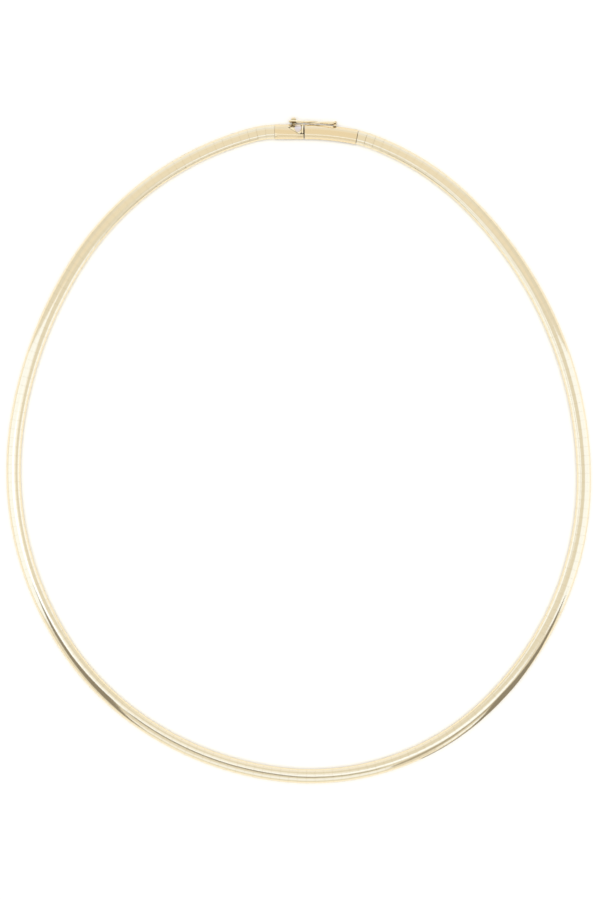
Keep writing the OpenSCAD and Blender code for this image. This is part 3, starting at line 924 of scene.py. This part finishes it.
def floor():
    """Matt white paper, so that the table is even and hardly mirrors."""
    mesh = bpy.data.meshes.new("white_table")
    corners = [(-1, -1), (1, -1), (1, 1), (-1, 1)]
    mesh.from_pydata([(x * TABLE_HALF, y * TABLE_HALF, 0) for x, y in corners], [], [(0, 1, 2, 3)])
    mat, tree = material("white_paper_table")
    shader = node(tree, "ShaderNodeBsdfPrincipled", {"Base Color": linear("#F7F6F4"),
                                                     "Roughness": 0.9, "Specular IOR Level": 0.1})
    out = node(tree, "ShaderNodeOutputMaterial")
    tree.links.new(shader.outputs["BSDF"], out.inputs["Surface"])
    mesh.materials.append(mat)
    table = bpy.data.objects.new("white_table", mesh)
    table.location.z = -TABLE_DROP * MM
    bpy.context.scene.collection.objects.link(table)


def world(strength, colour):
    """The studio's pale walls."""
    sky = bpy.data.worlds.new("studio_walls")
    sky.use_nodes = True
    back = sky.node_tree.nodes["Background"]
    back.inputs["Color"].default_value = linear(colour)
    back.inputs["Strength"].default_value = strength
    bpy.context.scene.world = sky


# The frame, the photograph's scale at the band in mm a pixel, where the seam shows in the frame,
# how far the camera is over the band in mm, and its clipping in metres.
FRAME_PX, MM_A_PX, SEAM_PX = (600, 900), 0.2265, (304.1, 131.65)
CAMERA_UP, SENSOR, CLIP = 325.0, 36.0, (0.01, 20.0)


def camera():
    """Straight over the necklace, as in the photograph."""
    data = bpy.data.cameras.new("camera")
    eye = bpy.data.objects.new("camera", data)
    x = -X_MID + (FRAME_PX[0] / 2 - SEAM_PX[0]) * MM_A_PX
    y = -Y_MID - (FRAME_PX[1] / 2 - SEAM_PX[1]) * MM_A_PX
    eye.location = Vector((x, y, CAMERA_UP + BAND_H / 2)) * MM
    data.sensor_fit, data.sensor_width = "AUTO", SENSOR
    data.lens = SENSOR * CAMERA_UP / (FRAME_PX[1] * MM_A_PX)
    data.clip_start, data.clip_end = CLIP
    bpy.context.scene.collection.objects.link(eye)
    bpy.context.scene.camera = eye


floor()
world(0.86, "#FFFEFA")
# Lights by name: size, place and the point that they face, in mm, strength, colour, whether the
# metal mirrors them, and their turn. The panels are cooler than the walls, and a panel adds its
# light to the walls' light behind it.
PANEL = "#A8C8FF"
lit("overhead_fill", (900, 900), (0, 0, 700), (0, 0, 0), 1.1, "#FFFFFF", False)
lit("left_panel", (96, 86), (-79, -10, 39), (-50, -10, 11), 0.68, PANEL, True)
lit("right_panel", (96, 76), (94, -10, 34), (40, -10, 10), 0.66, PANEL, True)
lit("overhead_strip", (190, 40), (-10, -46, 130), (-10, -46, 0), 0.8, PANEL, True, -26)
lit("front_panel", (84, 28), (-10, -106, 29), (-10, -60, 0), 0.5, PANEL, True)
lit("right_front_panel", (50, 34), (108, -156, 36), (37, -56, 0), 0.85, PANEL, True)
lit("back_panel", (300, 120), (0, 190, 70), (0, 72, 0), 0.22, PANEL, True)
lit("low_back_panel", (300, 50), (0, 186, 25), (0, 72, 0), 0.22, PANEL, True)
lit("warm_ceiling", (150, 90), (0, 80, 60), (0, 80, 0), 0.08, "#FFD98C", True)

# Cards by name: brightness, colour and rows. The bright ones lie over the inside of the loop at
# the left, and stand before the band at the front left.
DARK_CARD, BRIGHT_CARD = "#FFF8EC", "#EFF4FF"
card_beside("front_rail", 0.4, DARK_CARD, level(40, [
    (164, 9.6, 16.7), (174, 4.8, 11.6), (181, 1, 10.5), (188, -6, 5.3),
    (198, -5.5, 6), (206, -6.5, 4.2), (217, -8, 3)]))
card_beside("left_inner_card", 1.22, BRIGHT_CARD, level(30, [
    (166, -16, -17), (176, -13, -24), (188, -11, -28), (206, -11, -28),
    (224, -11, -26), (236, -11, -24), (242, -12, -13)]))
card_beside("left_side_card", 1.28, BRIGHT_CARD, level(30, [
    (248, -8, -10), (256, -7, -17), (270, -7, -20), (282, -7, -17), (290, -8, -10)]))
card_beside("left_front_card", 1.22, BRIGHT_CARD, standing(16, [
    (199, 10, 20), (206, 9, 23), (213, 9, 25), (218, 12, 22)]))
card_beside("right_corner", 0.31, DARK_CARD, [
    (112, 20, 15.9, 20, 20), (118, 20, 6.5, 20, 26), (122, 7, 0.2, 20, 21), (126, 3, 0, 20, 24),
    (130, 1.2, 0, 14, 24), (134, 1.2, 0, 10, 24), (138, 1.2, 0, 10, 5.7), (142, 0.9, 0, 5, 0.7),
    (148, 0.5, 0, 3.5, 0.15), (155, 0.5, 0, 3, 0.1)])
card_beside("right_corner_bar", 0.5, DARK_CARD, [
    (132, 10, 15.7, 10, 23.7), (138, 8, 10.2, 8, 22.5), (142, 8, 12.9, 8, 28), (147, 8, 10, 8, 28),
    (154, 8, 9, 8, 27), (158, 8, 8, 8, 20), (162, 8, 8, 8, 11)])
card_beside("left_corner", 0.31, DARK_CARD, [
    (213, 14, 6.1, 14, 7.9), (216, 14, 4.9, 14, 10.9), (218.5, 14, 6.1, 14, 19),
    (221, 14, 7.9, -4.5, 30), (228, 14, 10.5, -0.8, 30), (234, 14, 14.3, 2.4, 30),
    (240, 12, 15.5, 3.2, 30), (246, 4, 15.8, 4, 24.4), (249, 4, 18, 4, 20)])
camera()
bpy.context.scene.view_settings.view_transform = "Standard"
bpy.context.scene.view_settings.look = "None"
